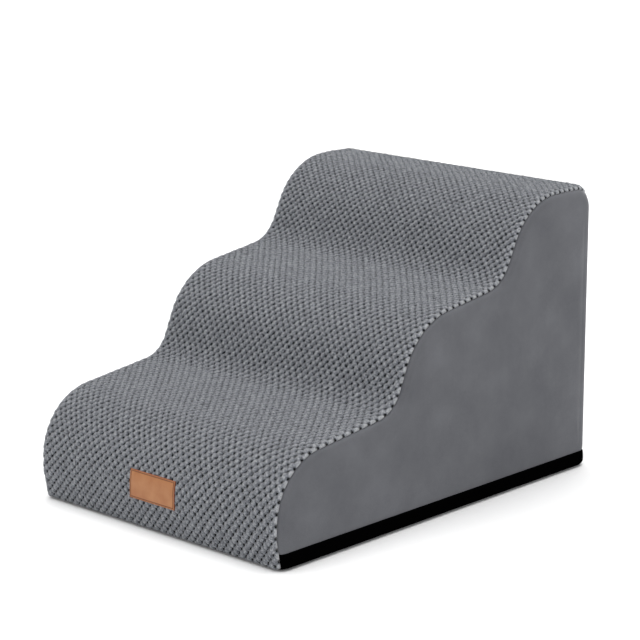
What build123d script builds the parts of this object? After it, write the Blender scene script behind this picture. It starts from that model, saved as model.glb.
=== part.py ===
from build123d import *
import math
import os

# Three-step foam pet stairs in a fabric cover that zips shut at the back.
# Millimetres, +Z up, floor at Z = 0. The stairs climb along +Y and their width runs along X.
# The origin is on the floor, under the middle of the whole object's box.

# Covered stairs
WIDTH = 400.0
DEPTH = 564.0
HEIGHT = 362.0
EDGE_RADIUS = 14.0
BACK_TOP_EASE = 16.0
FOOT_RADIUS = 6.0
OVERRUN = 20.0

# Side outline from the front foot over the steps to the foot of the back.
# Each row is a corner before rounding: its place behind the front as a share of the depth,
# its height as a share of the height, and its rounding radius as a share of the height.
# The top's back corner takes its radius from EDGE_RADIUS and BACK_TOP_EASE instead.
OUTLINE_SHARES = {
    "front_foot": (0.012, 0.0, 0.0),
    "front_bulge": (0.0, 0.095, 0.11),
    "nose_1": (0.003, 0.342, 0.222),
    "foot_2": (0.345, 0.404, 0.115),
    "nose_2": (0.419, 0.674, 0.266),
    "foot_3": (0.687, 0.73, 0.132),
    "nose_3": (0.773, 1.0, 0.25),
    "back_top": (1.0, 1.0, 0.0),
    "back_foot": (1.0, 0.0, 0.0),
}
UNPADDED_SIDES = ("back_top", "back_foot")

# Layers, from the cover inwards
COVER_THICKNESS = 3.0
LAYER_GAP = 0.3
LINER_THICKNESS = 1.0
COMFORT_THICKNESS = 28.0

# Base: black sheet with moulded grip dots, and the black band sewn round its sides and back
GRIP_HEIGHT = 1.2
GRIP_RADIUS = 4.0
GRIP_PITCH = 34.0
GRIP_MARGIN = 26.0
BAND_TOP = 21.0

# Label on the front
LABEL_WIDTH = 75.0
LABEL_HEIGHT = 34.0
LABEL_THICKNESS = 1.6
LABEL_BOTTOM = 38.0
THREAD_WIDTH = 0.8
THREAD_PROUD = 0.5
LABEL_STITCH_INSET = 1.6

# Zip between the back panel and the band
ZIP_END_MARGIN = 35.0
TAPE_WIDTH = 14.0
TAPE_THICKNESS = 0.7
CHAIN_GAP = 1.0
COIL_WIDTH = 2.5
COIL_THICKNESS = 2.2
STOP_LENGTH = 2.5
STOP_PROUD = 0.2
STOP_PLAY = 0.5
ZIP_STITCH_INSET = 3.0
ZIP_STITCH_SINK = 0.5
CHANNEL_MARGIN = 1.0
CHANNEL_ROOM = 0.6

# Zip slider and its pull
SLIDER_LENGTH = 12.0
SLIDER_WIDTH = 9.4
SLIDER_TAPER = 0.8
SLIDER_CORNER = 2.0
SLIDER_PLATE = 1.0
SLIDER_PLAY = 0.3
SLIDER_SIDE_ROOM = 1.3
FLANGE_WIDTH = 1.3
NECK_WIDTH = 0.6
NECK_LENGTH = 3.0
BRIDGE_RADIUS = 2.4
BRIDGE_BAR_RADIUS = 0.7
BRIDGE_LEG = 0.8
PULL_LENGTH = 24.0
PULL_WIDTH = 7.0
PULL_THICKNESS = 1.0
PULL_EYE_RADIUS = 1.2
PULL_EYE_WALL = 1.1
PULL_WINDOW_LENGTH = 8.0
PULL_WINDOW_WIDTH = 3.0

# Places worked out from the sizes
half_width = WIDTH / 2
bridge_top = BRIDGE_LEG + BRIDGE_RADIUS + BRIDGE_BAR_RADIUS
coil_top = COIL_THICKNESS - COVER_THICKNESS
slider_top = coil_top + SLIDER_PLAY + SLIDER_PLATE
label_proud = LABEL_THICKNESS + THREAD_PROUD
back_proud = slider_top + bridge_top
front_y = -(DEPTH + back_proud - label_proud) / 2
back_y = front_y + DEPTH
seam_inset = EDGE_RADIUS * (1 - math.cos(math.radians(45)))
seam_x = half_width - seam_inset
base_seam_z = GRIP_HEIGHT + COVER_THICKNESS
zip_gap = SLIDER_WIDTH + 2 * SLIDER_SIDE_ROOM
zip_z = BAND_TOP + zip_gap / 2
zip_half = half_width - ZIP_END_MARGIN
chain_edge = CHAIN_GAP / 2 + COIL_WIDTH
coil_half = zip_half - STOP_LENGTH
liner_inset = COVER_THICKNESS + LAYER_GAP
foam_inset = liner_inset + LINER_THICKNESS + LAYER_GAP
tape_face_y = back_y - COVER_THICKNESS
tape_inner_y = tape_face_y - TAPE_THICKNESS
coil_top_y = back_y + coil_top
slider_rest_x = coil_half - SLIDER_LENGTH / 2 - STOP_PLAY
slider_travel = 2 * slider_rest_x
hinge_y = back_y + slider_top + BRIDGE_LEG
slider_floor_y = tape_inner_y - SLIDER_PLAY - SLIDER_PLATE
channel_depth = back_y - slider_floor_y + CHANNEL_ROOM

os.makedirs("parts", exist_ok=True)


def box_between(x_range, y_range, z_range):
    """A plain block between two places along each axis."""
    ranges = (x_range, y_range, z_range)
    size = [high - low for low, high in ranges]
    centre = [(high + low) / 2 for low, high in ranges]
    return Pos(*centre) * Box(*size)


def outline_points():
    """The corners of the side outline in real sizes, as name, Y, Z and rounding radius."""
    points = []
    for name, (depth_share, height_share, radius_share) in OUTLINE_SHARES.items():
        y = front_y + depth_share * DEPTH
        z = GRIP_HEIGHT + height_share * (HEIGHT - GRIP_HEIGHT)
        radius = radius_share * HEIGHT
        if name == "back_top":
            radius = EDGE_RADIUS + BACK_TOP_EASE
        points.append((name, y, z, radius))
    return points


def side_outline(inset, padding=0):
    """The outline moved inwards by inset, and by padding more along the front, steps and top.

    A side is named after the corner that it starts from. An outward corner's radius shrinks
    by the distance moved and an inward corner's grows by it, so the layer stays equally thick.
    """
    points = outline_points()
    count = len(points)
    lines = []
    for i, (name, y, z, _) in enumerate(points):
        _, next_y, next_z, _ = points[(i + 1) % count]
        length = math.hypot(next_y - y, next_z - z)
        direction = ((next_y - y) / length, (next_z - z) / length)
        moved = inset if name in UNPADDED_SIDES else inset + padding
        start = (y + direction[1] * moved, z - direction[0] * moved)
        lines.append((start, direction, moved))
    corners = []
    radii = []
    for i, (_, _, _, radius) in enumerate(points):
        (before, along, moved_before), (after, onward, moved) = lines[i - 1], lines[i]
        turn = along[0] * onward[1] - along[1] * onward[0]
        reach = (after[0] - before[0]) * onward[1] - (after[1] - before[1]) * onward[0]
        corners.append((before[0] + along[0] * reach / turn, before[1] + along[1] * reach / turn))
        rounded = radius + moved if turn > 0 else max(radius - moved, 0)
        radii.append(rounded if radius and moved == moved_before else 0)
    wire = FilletPolyline(*corners, radius=radii, close=True)
    return Plane.YZ * make_face(wire)


def stair_body(inset):
    """The whole stair shape inset on every side, with its side outlines and its foot rounded."""
    half = half_width - inset
    body = extrude(side_outline(inset), amount=half, both=True)
    foot_z = GRIP_HEIGHT + inset
    side_edges = [
        edge
        for edge in body.edges()
        if abs(abs(edge.center().X) - half) < LAYER_GAP and edge.center().Z > foot_z + LAYER_GAP
    ]
    body = fillet(side_edges, EDGE_RADIUS - inset)
    foot_edges = body.edges().group_by(Axis.Z)[0]
    return fillet(foot_edges, FOOT_RADIUS - inset)


def zip_channel(depth, margin):
    """The shallow recess behind the zip, which the soft layers leave free for its tapes."""
    reach = TAPE_WIDTH + CHAIN_GAP / 2 + CHANNEL_MARGIN + margin
    side = zip_half + CHANNEL_MARGIN + margin
    return box_between(
        (-side, side),
        (back_y - depth, back_y + OVERRUN),
        (zip_z - reach, zip_z + reach),
    )


def zip_stitch_rows():
    """The two rows of thread along the zip, drawn down until they are flush with the fabric."""
    row_reach = zip_gap / 2 + ZIP_STITCH_INSET
    middles = (zip_z + row_reach, zip_z - row_reach)
    return [
        box_between(
            (-zip_half, zip_half),
            (back_y - ZIP_STITCH_SINK, back_y),
            (middle - THREAD_WIDTH / 2, middle + THREAD_WIDTH / 2),
        )
        for middle in middles
    ]


def cover_panels():
    """The cover, a shell cut along its seams into the panels that are sewn together."""
    shell = stair_body(0) - stair_body(COVER_THICKNESS) - zip_stitch_rows()
    wide = (-half_width - OVERRUN, half_width + OVERRUN)
    deep = (front_y - OVERRUN, back_y + OVERRUN)
    walls = shell & box_between(wide, deep, (base_seam_z, HEIGHT + OVERRUN))
    tread = walls & tread_zone()
    rim = walls - tread_zone()
    above_band = (BAND_TOP, HEIGHT + OVERRUN)
    slot = box_between((-zip_half, zip_half), deep, (BAND_TOP, BAND_TOP + zip_gap))
    band = rim & box_between(wide, deep, (base_seam_z, BAND_TOP))
    back = rim & box_between((-seam_x, seam_x), deep, above_band) - slot
    left = rim & box_between((-half_width - OVERRUN, -seam_x), deep, above_band)
    right = rim & box_between((seam_x, half_width + OVERRUN), deep, above_band)
    base = shell & box_between(wide, deep, (-OVERRUN, base_seam_z))
    return {
        "tread_panel": tread,
        "side_panel_left": left,
        "side_panel_right": right,
        "back_panel": back,
        "base_band": band,
        "base_panel": base + grip_dots(),
    }


def tread_zone():
    """The room between the side seams that the knitted panel fills, cut off slantwise at the top's back."""
    corner = EDGE_RADIUS + BACK_TOP_EASE
    outline = Polyline(
        (front_y - OVERRUN, base_seam_z),
        (back_y - corner, base_seam_z),
        (back_y - corner, HEIGHT - corner),
        (back_y + OVERRUN, HEIGHT + OVERRUN),
        (front_y - OVERRUN, HEIGHT + OVERRUN),
        close=True,
    )
    return extrude(Plane.YZ * make_face(outline), amount=seam_x, both=True)


def grip_dots():
    """Grip dots in a staggered pattern under the base sheet, with one at the very middle."""
    row_pitch = GRIP_PITCH * math.sin(math.radians(60))
    columns = int((half_width - GRIP_MARGIN) / GRIP_PITCH)
    rows = int((min(-front_y, back_y) - GRIP_MARGIN) / row_pitch)
    dot = Cylinder(GRIP_RADIUS, GRIP_HEIGHT, align=(Align.CENTER, Align.CENTER, Align.MIN))
    dots = []
    for row in range(-rows, rows + 1):
        shift = GRIP_PITCH / 2 if row % 2 else 0
        for column in range(-columns, columns + 1):
            x = column * GRIP_PITCH + shift
            if abs(x) <= half_width - GRIP_MARGIN:
                dots.append(Pos(x, row * row_pitch) * dot)
    return dots


def inner_layers():
    """The liner, the soft comfort layer under the steps and the firm foam core."""
    liner_back = liner_inset + LINER_THICKNESS
    outer = stair_body(liner_inset) - zip_channel(channel_depth, 0)
    inner = stair_body(liner_back) - zip_channel(channel_depth + LINER_THICKNESS, LINER_THICKNESS)
    behind_liner = LINER_THICKNESS + LAYER_GAP
    foam = stair_body(foam_inset) - zip_channel(channel_depth + behind_liner, behind_liner)
    firm = extrude(side_outline(foam_inset, COMFORT_THICKNESS), amount=half_width, both=True)
    return {
        "inner_liner": outer - inner,
        "foam_core": foam & firm,
        "comfort_layer": foam - firm,
    }


def label():
    """The leather patch on the front and the line of thread that sews it on."""
    middle = LABEL_BOTTOM + LABEL_HEIGHT / 2

    def patch_zone(inset):
        reach = LABEL_WIDTH / 2 - inset
        rise = LABEL_HEIGHT / 2 - inset
        in_front = (front_y - OVERRUN, front_y + OVERRUN)
        return box_between((-reach, reach), in_front, (middle - rise, middle + rise))

    face = side_skin(0, LABEL_THICKNESS)
    thread_face = side_skin(LABEL_THICKNESS, LABEL_THICKNESS + THREAD_PROUD)
    line = patch_zone(LABEL_STITCH_INSET) - patch_zone(LABEL_STITCH_INSET + THREAD_WIDTH)
    return {"label_patch": face & patch_zone(0), "label_stitching": thread_face & line}


def side_skin(near, far):
    """A skin round the side outline, between two distances outside the cover."""
    outer = extrude(side_outline(-far), amount=LABEL_WIDTH, both=True)
    inner = extrude(side_outline(-near), amount=LABEL_WIDTH, both=True)
    return outer - inner


def zip_chain():
    """The two tapes with their coils, the stops at both ends and the thread that holds the tapes."""
    pieces = {}
    near = CHAIN_GAP / 2
    for side, sign in (("upper", 1), ("lower", -1)):
        tape_edges = sorted((zip_z + sign * near, zip_z + sign * (near + TAPE_WIDTH)))
        coil_edges = sorted((zip_z + sign * near, zip_z + sign * chain_edge))
        pieces["zip_tape_" + side] = box_between(
            (-zip_half, zip_half), (tape_inner_y, tape_face_y), tape_edges
        )
        pieces["zip_coil_" + side] = box_between(
            (-coil_half, coil_half), (tape_face_y, coil_top_y), coil_edges
        )
    stop_depth = (tape_face_y, coil_top_y + STOP_PROUD)
    pieces["zip_top_stops"] = [
        box_between((coil_half, zip_half), stop_depth, (zip_z + near, zip_z + chain_edge)),
        box_between((coil_half, zip_half), stop_depth, (zip_z - chain_edge, zip_z - near)),
    ]
    pieces["zip_bottom_stop"] = box_between(
        (-zip_half, -coil_half), stop_depth, (zip_z - chain_edge, zip_z + chain_edge)
    )
    pieces["zip_stitching"] = zip_stitch_rows()
    return pieces


def zip_slider():
    """The slider: two plates round the chain, side flanges, the neck and the bridge for the pull.

    The neck runs between the two coils, which a hair's gap keeps apart along the closed chain.
    """
    nose = SLIDER_LENGTH / 2
    wide = SLIDER_WIDTH / 2
    tail = wide - SLIDER_TAPER
    shape = make_face(
        FilletPolyline(
            (-nose, -tail), (nose, -wide), (nose, wide), (-nose, tail), radius=SLIDER_CORNER, close=True
        )
    )
    # The sketch stands in the XZ plane, whose normal points to the front, so it grows backwards.
    upright = Plane.XZ * shape

    def plate(low_y, high_y):
        return Pos(slider_rest_x, low_y, zip_z) * extrude(upright, amount=low_y - high_y)

    top_inner_y = coil_top_y + SLIDER_PLAY
    top_outer_y = top_inner_y + SLIDER_PLATE
    along = (slider_rest_x - nose, slider_rest_x + nose)
    inside = wide - FLANGE_WIDTH
    hood = plate(tape_face_y + SLIDER_PLAY, top_outer_y)
    tunnel = box_between(along, (tape_face_y, top_inner_y), (zip_z - inside, zip_z + inside))
    neck = box_between(
        (slider_rest_x, slider_rest_x + NECK_LENGTH),
        (slider_floor_y, top_outer_y),
        (zip_z - NECK_WIDTH / 2, zip_z + NECK_WIDTH / 2),
    )
    slider = hood - tunnel + plate(slider_floor_y, slider_floor_y + SLIDER_PLATE) + neck
    arch = Torus(BRIDGE_RADIUS, BRIDGE_BAR_RADIUS, major_angle=180, align=None)
    slider += Pos(slider_rest_x, hinge_y, zip_z) * arch
    leg = Rot(X=-90) * Cylinder(
        BRIDGE_BAR_RADIUS, BRIDGE_LEG, align=(Align.CENTER, Align.CENTER, Align.MIN)
    )
    for sign in (1, -1):
        slider += Pos(slider_rest_x + sign * BRIDGE_RADIUS, top_outer_y, zip_z) * leg
    return slider


def zip_pull():
    """The pull tab, lying back along the chain with its eye round one leg of the bridge."""
    eye = PULL_EYE_RADIUS + PULL_EYE_WALL
    tip = PULL_LENGTH - eye
    half = PULL_WIDTH / 2
    rounds = Circle(eye) + Pos(-tip + half, 0) * Circle(half)
    tab = make_hull(rounds.edges())
    window_x = -tip + half + PULL_WINDOW_LENGTH / 2 - PULL_WINDOW_WIDTH / 2
    tab -= Circle(PULL_EYE_RADIUS)
    tab -= Pos(window_x, 0) * SlotOverall(PULL_WINDOW_LENGTH, PULL_WINDOW_WIDTH)
    plate = extrude(Plane.XZ * tab, amount=PULL_THICKNESS / 2, both=True)
    return Pos(slider_rest_x - BRIDGE_RADIUS, hinge_y, zip_z) * plate


nodes = {}
nodes.update(inner_layers())
nodes.update(cover_panels())
nodes.update(label())
nodes.update(zip_chain())
nodes["zip_slider"] = zip_slider()
nodes["zip_pull"] = zip_pull()

for node_name, shape in nodes.items():
    solid = Compound(children=shape) if isinstance(shape, list) else shape
    export_step(solid, f"parts/{node_name}.step")

print("front", round(front_y, 3), "back", round(back_y, 3), "zip height", round(zip_z, 3))
print("slider rests at x", round(slider_rest_x, 3), "and travels", round(slider_travel, 3))
print("pull hinge at", round(slider_rest_x, 3), round(hinge_y, 3), round(zip_z, 3))
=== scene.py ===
import math

import bmesh
import bpy
import numpy as np
from mathutils import Matrix, Vector, noise


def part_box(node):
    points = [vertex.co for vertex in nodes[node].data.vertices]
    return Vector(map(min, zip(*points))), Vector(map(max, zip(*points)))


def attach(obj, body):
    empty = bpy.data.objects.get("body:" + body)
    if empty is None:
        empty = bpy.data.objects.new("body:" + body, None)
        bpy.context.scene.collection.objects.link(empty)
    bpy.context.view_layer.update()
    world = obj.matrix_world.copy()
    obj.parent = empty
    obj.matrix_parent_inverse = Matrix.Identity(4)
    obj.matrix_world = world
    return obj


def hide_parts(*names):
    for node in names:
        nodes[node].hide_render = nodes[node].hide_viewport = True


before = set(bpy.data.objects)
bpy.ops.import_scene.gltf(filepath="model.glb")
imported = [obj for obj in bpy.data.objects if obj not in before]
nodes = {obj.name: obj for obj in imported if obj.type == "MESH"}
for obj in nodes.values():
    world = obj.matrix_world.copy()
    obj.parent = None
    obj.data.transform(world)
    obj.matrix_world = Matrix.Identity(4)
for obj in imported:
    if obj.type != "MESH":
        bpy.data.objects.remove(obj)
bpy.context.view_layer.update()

# Foam pet stairs in metres. They climb along +Y, and their width runs along X.

# Foam core, comfort layer and liner. The core is firm open-cell foam with a softer layer glued
# over its steps, and a thin polyester liner is closed round both. The cover hides all three,
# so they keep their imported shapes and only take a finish.


def linear(code):
    """A colour written as six sRGB hex digits, turned to linear."""
    parts = [int(code[i : i + 2], 16) / 255 for i in (0, 2, 4)]
    curved = [p / 12.92 if p <= 0.04045 else ((p + 0.055) / 1.055) ** 2.4 for p in parts]
    return [*curved, 1.0]


def join(material, node, inputs):
    """Sets a node's inputs, by a link where the value is another node's output."""
    for name, value in inputs.items():
        if isinstance(value, bpy.types.NodeSocket):
            material.node_tree.links.new(value, node.inputs[name])
        else:
            node.inputs[name].default_value = value


def add(material, kind, inputs=None, stops=(), **settings):
    """Adds one node with its settings, links and, on a colour ramp, its stops."""
    node = material.node_tree.nodes.new("ShaderNode" + kind)
    for name, value in settings.items():
        setattr(node, name, value)
    for _ in stops[2:]:
        node.color_ramp.elements.new(1.0)
    for element, (place, code) in zip(node.color_ramp.elements if stops else (), stops):
        element.position = place
        element.color = linear(code)
    join(material, node, inputs or {})
    return node


def finish_named(name, fixed):
    """A new material and its surface shader, whose fixed values go on its own sockets."""
    material = bpy.data.materials.new(name)
    material.use_nodes = True
    shader = material.node_tree.nodes["Principled BSDF"]
    join(material, shader, fixed)
    return material, shader


def give(thing, material):
    """Puts one material in all of a piece's slots."""
    if not thing.material_slots:
        thing.data.materials.append(material)
    for slot in thing.material_slots:
        slot.material = material


def foam(name, dark, light, cell):
    """Open-cell polyurethane foam, cut with a blade: matt, with small round open cells."""
    material, shader = finish_named(name, {"Roughness": 0.95, "IOR": 1.45})
    place = add(material, "TexCoord").outputs["Object"]
    cells = add(material, "TexVoronoi", {"Vector": place, "Scale": 1 / cell})
    hollow = cells.outputs["Distance"]
    tint = add(material, "ValToRGB", {"Fac": hollow}, stops=((0.0, dark), (1.0, light)))
    relief = add(material, "Bump", {"Height": hollow, "Distance": cell / 4, "Strength": 0.6})
    join(material, shader, {"Base Color": tint.outputs["Color"], "Normal": relief.outputs["Normal"]})
    return material


give(nodes["foam_core"], foam("cut_firm_foam", "c9c5ba", "e6e3da", 0.0012))
give(nodes["comfort_layer"], foam("cut_soft_foam", "d6cfa4", "efe9c8", 0.0009))

# Polyester jersey: an even, thin white knit whose ribs are 1 mm apart. A wave pattern at scale 1
# has WAVE_TURNS ribs in a metre.
JERSEY_RIB = 0.001
WAVE_TURNS = 20 / (2 * math.pi)
jersey, shader = finish_named("polyester_jersey", {"Roughness": 0.85, "Sheen Weight": 0.2})
place = add(jersey, "TexCoord").outputs["Object"]
ribs = add(jersey, "TexWave", {"Vector": place, "Scale": 1 / JERSEY_RIB / WAVE_TURNS, "Distortion": 1.5})
rib = ribs.outputs["Fac"]
tint = add(jersey, "ValToRGB", {"Fac": rib}, stops=((0.0, "d2d2d0"), (1.0, "ededeb")))
relief = add(jersey, "Bump", {"Height": rib, "Distance": 0.0003, "Strength": 0.5})
join(jersey, shader, {"Base Color": tint.outputs["Color"], "Normal": relief.outputs["Normal"]})
give(nodes["inner_liner"], jersey)

# Tread panel. One strip of chunky jacquard knit in grey polyester yarn, sewn to the side
# panels along both rolled edges. It starts under the front edge, runs over the three steps
# and the top, and ends halfway round the top's back corner.

HALF_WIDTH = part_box("side_panel_right")[1].x
SEAM_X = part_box("tread_panel")[1].x
HALFWAY = math.radians(45)
ROLL = (HALF_WIDTH - SEAM_X) / (1 - math.cos(HALFWAY))
BACK_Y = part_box("back_panel")[1].y
TOP_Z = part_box("tread_panel")[1].z
DEPTH = 0.564
FOOT_Z = 0.0012
FOOT_ROUND = 0.006
BACK_CORNER = 0.030
BACK_ROLL = 0.018
ROLL_GROWS = 0.06
ARC_STEPS = 40
PATH_POINTS = 6000
# Corners of the side outline, as shares of the depth and the height, and radii as shares of the height.
OUTLINE_SHARES = (
    (0.012, 0.0, FOOT_ROUND / TOP_Z),
    (0.0, 0.095, 0.11),
    (0.003, 0.342, 0.222),
    (0.345, 0.404, 0.115),
    (0.419, 0.674, 0.266),
    (0.687, 0.73, 0.132),
    (0.773, 1.0, 0.25),
    (1.0, 1.0, BACK_CORNER / TOP_Z),
    (1.0, 0.0, FOOT_ROUND / TOP_Z),
)
front_y = BACK_Y - DEPTH
rise = TOP_Z - FOOT_Z


def rounded_path(points):
    """A path in the YZ plane whose corners are spun to their radii, between its two ends."""
    path = bmesh.new()
    path.verts.new((0, *points[0][:2]))
    for before, corner, after in zip(points, points[1:], points[2:]):
        here = Vector(corner[:2])
        coming = (here - Vector(before[:2])).normalized()
        going = (Vector(after[:2]) - here).normalized()
        turn = math.atan2(coming.cross(going), coming.dot(going))
        start = here - coming * corner[2] * math.tan(abs(turn) / 2)
        centre = start + Vector((-coming.y, coming.x)) * math.copysign(corner[2], turn)
        vert = path.verts.new((0, *start))
        bmesh.ops.spin(path, geom=[vert], cent=(0, *centre), axis=(1, 0, 0), angle=turn, steps=ARC_STEPS)
    path.verts.new((0, *points[-1][:2]))
    line = np.array([v.co[1:] for v in path.verts])
    path.free()
    return line


corners = [(front_y + a * DEPTH, FOOT_Z + b * rise, r * TOP_Z) for a, b, r in OUTLINE_SHARES]
outline = rounded_path([(0, FOOT_Z, 0), *corners, (0, FOOT_Z, 0)])
outline_s = np.concatenate([[0], np.cumsum(np.linalg.norm(np.diff(outline, axis=0), axis=1))])
even_s = np.linspace(0, outline_s[-1], PATH_POINTS)
even = np.stack([np.interp(even_s, outline_s, outline[:, k]) for k in (0, 1)], 1)
along = np.gradient(even, axis=0)
outward = np.stack([-along[:, 1], along[:, 0]], 1)
for _ in range(4):
    outward[1:-1] = (outward[:-2] + outward[1:-1] * 2 + outward[2:]) / 4
outward /= np.linalg.norm(outward, axis=1)[:, None]


def arc_at(test):
    """The distance along the outline of the first point that passes a test of its Y and Z."""
    return even_s[np.argmax(test(even[:, 0], even[:, 1]))]


flat_half = HALF_WIDTH - ROLL
seam_u = flat_half + ROLL * HALFWAY
side_u = flat_half + ROLL * math.pi / 2
even_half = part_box("zip_tape_upper")[1].x
back_turn_s = arc_at(lambda y, z: (y > BACK_Y - 2 * BACK_CORNER) & (z > TOP_Z / 2))
back_flat_s = back_turn_s + ROLL_GROWS


def on_skin(u, s, lift):
    """Points of the skin: u runs across, flat and then round the rolled edges, s along the outline.

    The back's two upright edges are rounder than the rest, and the roll grows into them.
    """
    y, z = (np.interp(s, even_s, even[:, k]) for k in (0, 1))
    ny, nz = (np.interp(s, even_s, outward[:, k]) for k in (0, 1))
    at_back = np.clip((s - back_turn_s) / (back_flat_s - back_turn_s), 0, 1)
    radius = ROLL + (BACK_ROLL - ROLL) * at_back**2 * (3 - 2 * at_back)
    far = np.abs(u)
    roll = np.clip((far - flat_half) / ROLL, 0, math.pi / 2)
    inset = radius * (1 - np.cos(roll)) - lift * np.cos(roll)
    edge_share = np.clip((far - even_half) / (flat_half - even_half), 0, 1)
    x = np.minimum(far, even_half) + edge_share * (HALF_WIDTH - radius - even_half)
    x += (radius + lift) * np.sin(roll)
    return np.stack([np.sign(u) * x, y - inset * ny, z - inset * nz], -1)


def cloth(name, us, vs, place, keep=None, closed=False):
    """A grid with a line at each u and v, moved by place(u, v), with u and v as its UV map.

    keep(u, v) says which of its squares stay, and a closed piece has its open back filled.
    Numbers that place() gives after a point's three, one or three, become the attribute "mark".
    """
    grid = bmesh.new()
    bmesh.ops.create_grid(grid, x_segments=len(us) - 1, y_segments=len(vs) - 1, size=0.5)
    mesh = bpy.data.meshes.new(name)
    grid.to_mesh(mesh)
    co = np.zeros(len(mesh.vertices) * 3)
    mesh.vertices.foreach_get("co", co)
    co = co.reshape(-1, 3)
    u = np.asarray(us)[np.rint((co[:, 0] + 0.5) * (len(us) - 1)).astype(int)]
    v = np.asarray(vs)[np.rint((co[:, 1] + 0.5) * (len(vs) - 1)).astype(int)]
    placed = place(u, v)
    mesh.vertices.foreach_set("co", placed[:, :3].astype(np.float32).ravel())
    if placed.shape[1] > 3:
        kind, field = ("FLOAT", "value") if placed.shape[1] == 4 else ("FLOAT_VECTOR", "vector")
        mark = mesh.attributes.new("mark", kind, "POINT")
        mark.data.foreach_set(field, placed[:, 3:].astype(np.float32).ravel())
    corner = np.zeros(len(mesh.loops), int)
    mesh.loops.foreach_get("vertex_index", corner)
    layer = mesh.uv_layers.new(name="cloth")
    layer.data.foreach_set("uv", np.stack([u, v], 1)[corner].astype(np.float32).ravel())
    grid.clear()
    grid.from_mesh(mesh)
    if keep is not None:
        middles = [np.mean([(u[w.index], v[w.index]) for w in f.verts], axis=0) for f in grid.faces]
        gone = [f for f, m in zip(grid.faces, middles) if not keep(*m)]
        bmesh.ops.delete(grid, geom=gone, context="FACES")
    if closed:
        bmesh.ops.holes_fill(grid, edges=[e for e in grid.edges if e.is_boundary], sides=0)
        bmesh.ops.recalc_face_normals(grid, faces=grid.faces)
    return finished(name, grid)


def finished(name, shape, smooth=True):
    """Makes a shape in progress an object in the scene."""
    mesh = bpy.data.meshes.new(name)
    shape.to_mesh(mesh)
    shape.free()
    piece = bpy.data.objects.new(name, mesh)
    bpy.context.scene.collection.objects.link(piece)
    if smooth:
        mesh.shade_smooth()
    return piece


def set_in_place(piece, material, body, slot, *stood_for):
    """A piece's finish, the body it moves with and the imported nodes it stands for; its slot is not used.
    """
    give(piece, material)
    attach(piece, body)
    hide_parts(*stood_for)


# The knit's bumps lie in a centred lattice, parted by two sets of slanting grooves, with a pit
# where the grooves cross. Rows are closer at the top, where the strip is stretched less, and
# sink to the right in front. The side seams bite in at every second row, the hem is tucked
# under, and the label's seam presses the bumps flat beneath it. One step of the lattice is about
# ACROSS long, and a groove is a depth and a width.
COLUMN = 0.01005
ACROSS = 0.0082
CROWN = 0.45
BRAID_GROOVE = 0.27, 0.0009 / ACROSS
BUMP_GROOVE = 0.32, 0.0009 / ACROSS
PIT_DEEP = 0.95
PIT_LONG = 0.0023 / ACROSS
PIT_WIDE = 0.0017 / ACROSS
WANDER = 0.045
WANDER_SIZE = 0.014
UNEVEN = 0.05
UNEVEN_TABLE = 401
RELIEF = 0.0025
PROUD = 0.001
ROW_PITCHES = ((0.0, 0.0064), (0.35, 0.0061), (0.62, 0.0048), (1.0, 0.0048))
FRONT_SINK = 0.18
FRONT_REACH = 0.3
SEAM_RIDGE = 0.0008
RIDGE_IN = 0.0052
RIDGE_LEVEL = 0.95
RIDGE_EVENS = 0.5
# Painted highlight on the knit's fringe along its side seams.
SEAM_HIGHLIGHT = 0.3
NOTCH_IN = 0.0032
NOTCH_DEEP = 0.9
NOTCH_SHARP = 5
EDGE_TURN = 0.0009
EDGE_DEEP = 0.0018
HEM = 0.003
HEM_LEVEL = 0.45
TALLEST = 1.2
PRESSED = 0.45
PRESS_SOFT = 0.002
FLUFF_SIZE = 0.0035
FLUFF = np.array([0.00015, -0.00018, 0.00018])
KNIT_LINES = 341, 680
KNIT_LOW = FOOT_Z + 0.0003
knit_start = arc_at(lambda y, z: (y < 0) & (z > KNIT_LOW))
knit_end = arc_at(lambda y, z: (y > BACK_Y - BACK_CORNER * (1 - math.cos(HALFWAY))) & (z > TOP_Z / 2))
pitch = np.interp(even_s - knit_start, *zip(*ROW_PITCHES))
row_count = np.cumsum(1 / pitch) * even_s[1]
label_low, label_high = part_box("label_patch")
label_start = arc_at(lambda y, z: (y < 0) & (z > label_low.z))
label_end = arc_at(lambda y, z: (y < 0) & (z > label_high.z))
uneven = np.random.default_rng(4).normal(0, UNEVEN, (UNEVEN_TABLE, UNEVEN_TABLE))


def uneven_at(points, size, seed):
    """A smooth uneven height from -1 to 1, over lengths near size."""
    return np.array([noise.noise(Vector(p) / size + Vector((seed, 0, 0))) for p in points])


def bumps(u, s):
    """The knit's height, 0 in the pits and about 1 on the crests, and a point's place in the lattice."""
    sunk = FRONT_SINK * u * np.clip(1 - (s - knit_start) / FRONT_REACH, 0, 1)
    row_at = np.interp(s + sunk, even_s, row_count)
    strip = np.stack([u, s, u * 0], 1)
    braid_at = u / COLUMN - row_at / 2 + WANDER * uneven_at(strip, WANDER_SIZE, 8)
    bump_at = u / COLUMN + row_at / 2 + WANDER * uneven_at(strip, WANDER_SIZE, 9)
    braid, bump = np.round(braid_at).astype(int), np.round(bump_at).astype(int)
    off_braid, off_bump = np.abs(braid_at - braid), np.abs(bump_at - bump)
    height = 1 + uneven[braid % UNEVEN_TABLE, bump % UNEVEN_TABLE] - CROWN * (off_braid**2 + off_bump**2)
    for off, (deep, wide) in ((off_braid, BRAID_GROOVE), (off_bump, BUMP_GROOVE)):
        height -= deep * np.exp(-(((0.5 - off) / wide) ** 2))
    height -= PIT_DEEP * np.exp(-(((0.5 - off_bump) / PIT_LONG) ** 2) - ((0.5 - off_braid) / PIT_WIDE) ** 2)
    return np.maximum(height, 0), braid_at, bump_at, row_at


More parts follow.
